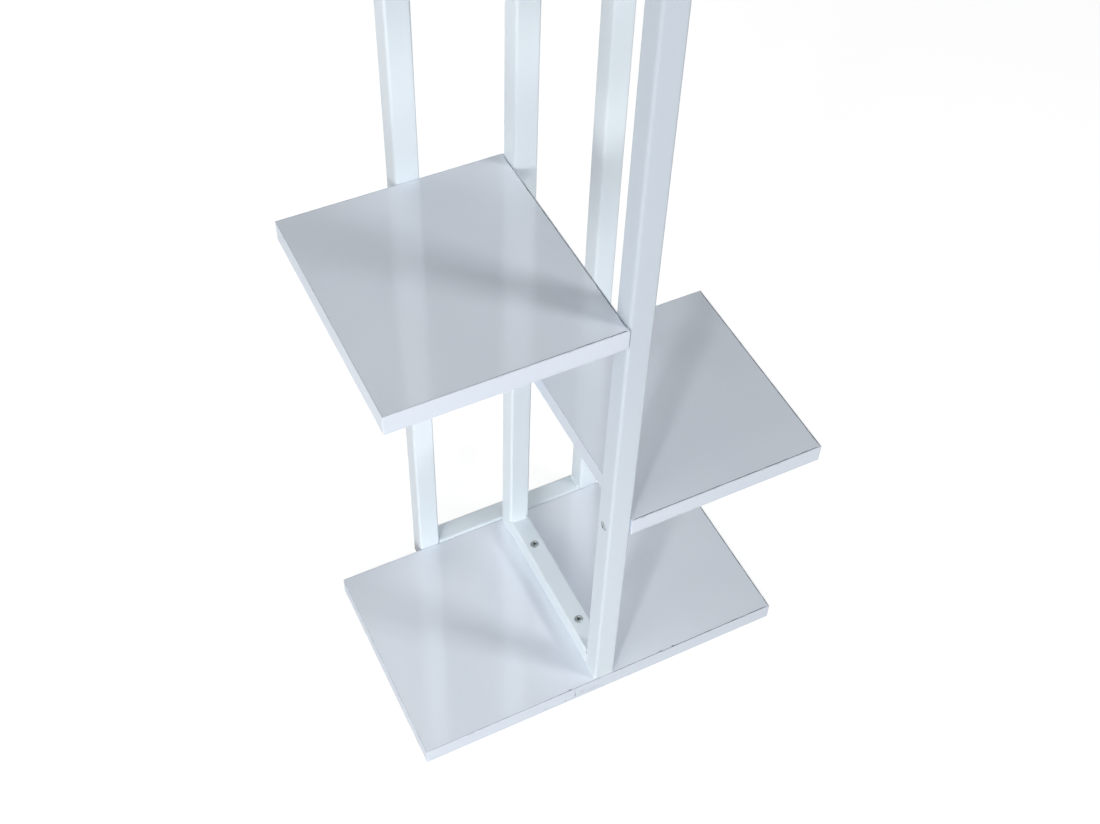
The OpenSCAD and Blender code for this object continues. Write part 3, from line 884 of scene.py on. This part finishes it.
# %% Bead and ridge
RIPPLE = 2.1  # spacing in mm
TROUGH, CREST, WELD_WANDER = 0.93, 0.07, 0.06  # shares of the size: least, added, and wander
WELD_WAVE, WELD_WAVES = 14.0, 3  # the wander's longest wave, and how many it has
WELD_STEP, FEWEST_STEPS, THINNEST = 0.3, 12, 0.02
LEG, BEAD_BURIED, BEAD_POINTS = 2.4, 0.12, 9  # its leg, the share of that inside the walls
RIDGE_WIDE, RIDGE_HIGH, RIDGE_BURIED, RIDGE_POINTS = 3.4, 0.22, 0.2, 11


def swell(length, seed):
    """Size along a weld: rounded ripples, a seeded wander, and ends that fade as the fourth root
    of 1 - t ** 6, where t goes from 0 in the middle to 1 at the end."""
    s = np.linspace(0, length, max(int(length / WELD_STEP), FEWEST_STEPS))
    ends = np.clip(1 - np.abs(2 * s / length - 1) ** 6, THINNEST, 1) ** 0.25
    ripples = TROUGH + CREST * np.abs(np.sin(np.pi * s / RIPPLE))
    return ends * (ripples + WELD_WANDER * uneven(s, seed, WELD_WAVE, WELD_WAVES))


def bead(start, end, first, second, seed):
    """A corner bead: (cos t)^1.5 along one wall and (sin t)^1.5 along the other, with its back
    buried in the corner."""
    t = np.linspace(0, np.pi / 2, BEAD_POINTS)
    front = np.stack([np.cos(t) ** 1.5, np.sin(t) ** 1.5], -1)
    section = LEG * np.concatenate([
        [[-BEAD_BURIED, -BEAD_BURIED], [1.0, -BEAD_BURIED]], front, [[-BEAD_BURIED, 1.0]]])
    return skin(carried(start, end, first, second, section, swell(math.dist(start, end), seed)))


def ridge(start, end, across, outward, seed):
    """A ground seam: half an ellipse, wide and low, on the face that points outward."""
    t = np.linspace(0, np.pi, RIDGE_POINTS)
    arc = np.stack([RIDGE_WIDE / 2 * np.cos(t), RIDGE_HIGH * np.sin(t)], -1)
    section = np.concatenate([
        [[-RIDGE_WIDE / 2, -RIDGE_BURIED], [RIDGE_WIDE / 2, -RIDGE_BURIED]], arc])
    return skin(carried(start, end, across, outward, section, swell(math.dist(start, end), seed)))


print("ripples every", RIPPLE, "mm")

# %% Weld the centre frame
HALF_BEAD = 7.8  # half the length of a bead across the rail, short of the tube's round corners
RIDGE_IN = 1.5  # how far inside the tube's corners a ridge stops
low, high = in_mm(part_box("centre_rail_bottom"))
top_low, top_high = in_mm(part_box("centre_rail_top"))
centre_welds = []  # the last value of each weld is its own seed
for k, (y, inward) in enumerate(((low[1], 1), (high[1], -1))):
    for z, upward, seed in ((high[2], 1, 10), (top_low[2], -1, 20)):
        centre_welds.append(bead((-HALF_BEAD, y, z), (HALF_BEAD, y, z),
                                 (0, inward, 0), (0, 0, upward), seed + k))
    for x, outward in ((low[0], -1), (high[0], 1)):
        for z0, z1 in ((low[2] + RIDGE_IN, high[2] - RIDGE_IN),
                       (top_low[2] + RIDGE_IN, top_high[2] - RIDGE_IN)):
            centre_welds.append(ridge((x, y, z0), (x, y, z1),
                                      (0, inward, 0), (outward, 0, 0), int(30 + k + z0)))
make_piece("centre_frame_welds", centre_welds, powder)
print(len(centre_welds), "welds in the centre frame")

# %% Weld the back frame
BEAD_IN = 2.2  # how far inside the rail's sides a bead stops
low, high = in_mm(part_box("back_rail_bottom"))
top_low, top_high = in_mm(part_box("back_rail_top"))
y0, y1 = low[1] + BEAD_IN, high[1] - BEAD_IN
back_welds = []
for k, (x, inward) in enumerate(((low[0], 1), (high[0], -1))):
    for z, upward, seed in ((high[2], 1, 50), (top_low[2], -1, 60)):
        back_welds.append(bead((x, y0, z), (x, y1, z), (inward, 0, 0), (0, 0, upward), seed + k))
    back_welds.append(ridge((x, low[1], top_low[2] + RIDGE_IN), (x, low[1], top_high[2] - RIDGE_IN),
                            (inward, 0, 0), (0, -1, 0), 70 + k))
make_piece("back_frame_welds", back_welds, powder)
print(len(back_welds), "welds in the back frame")
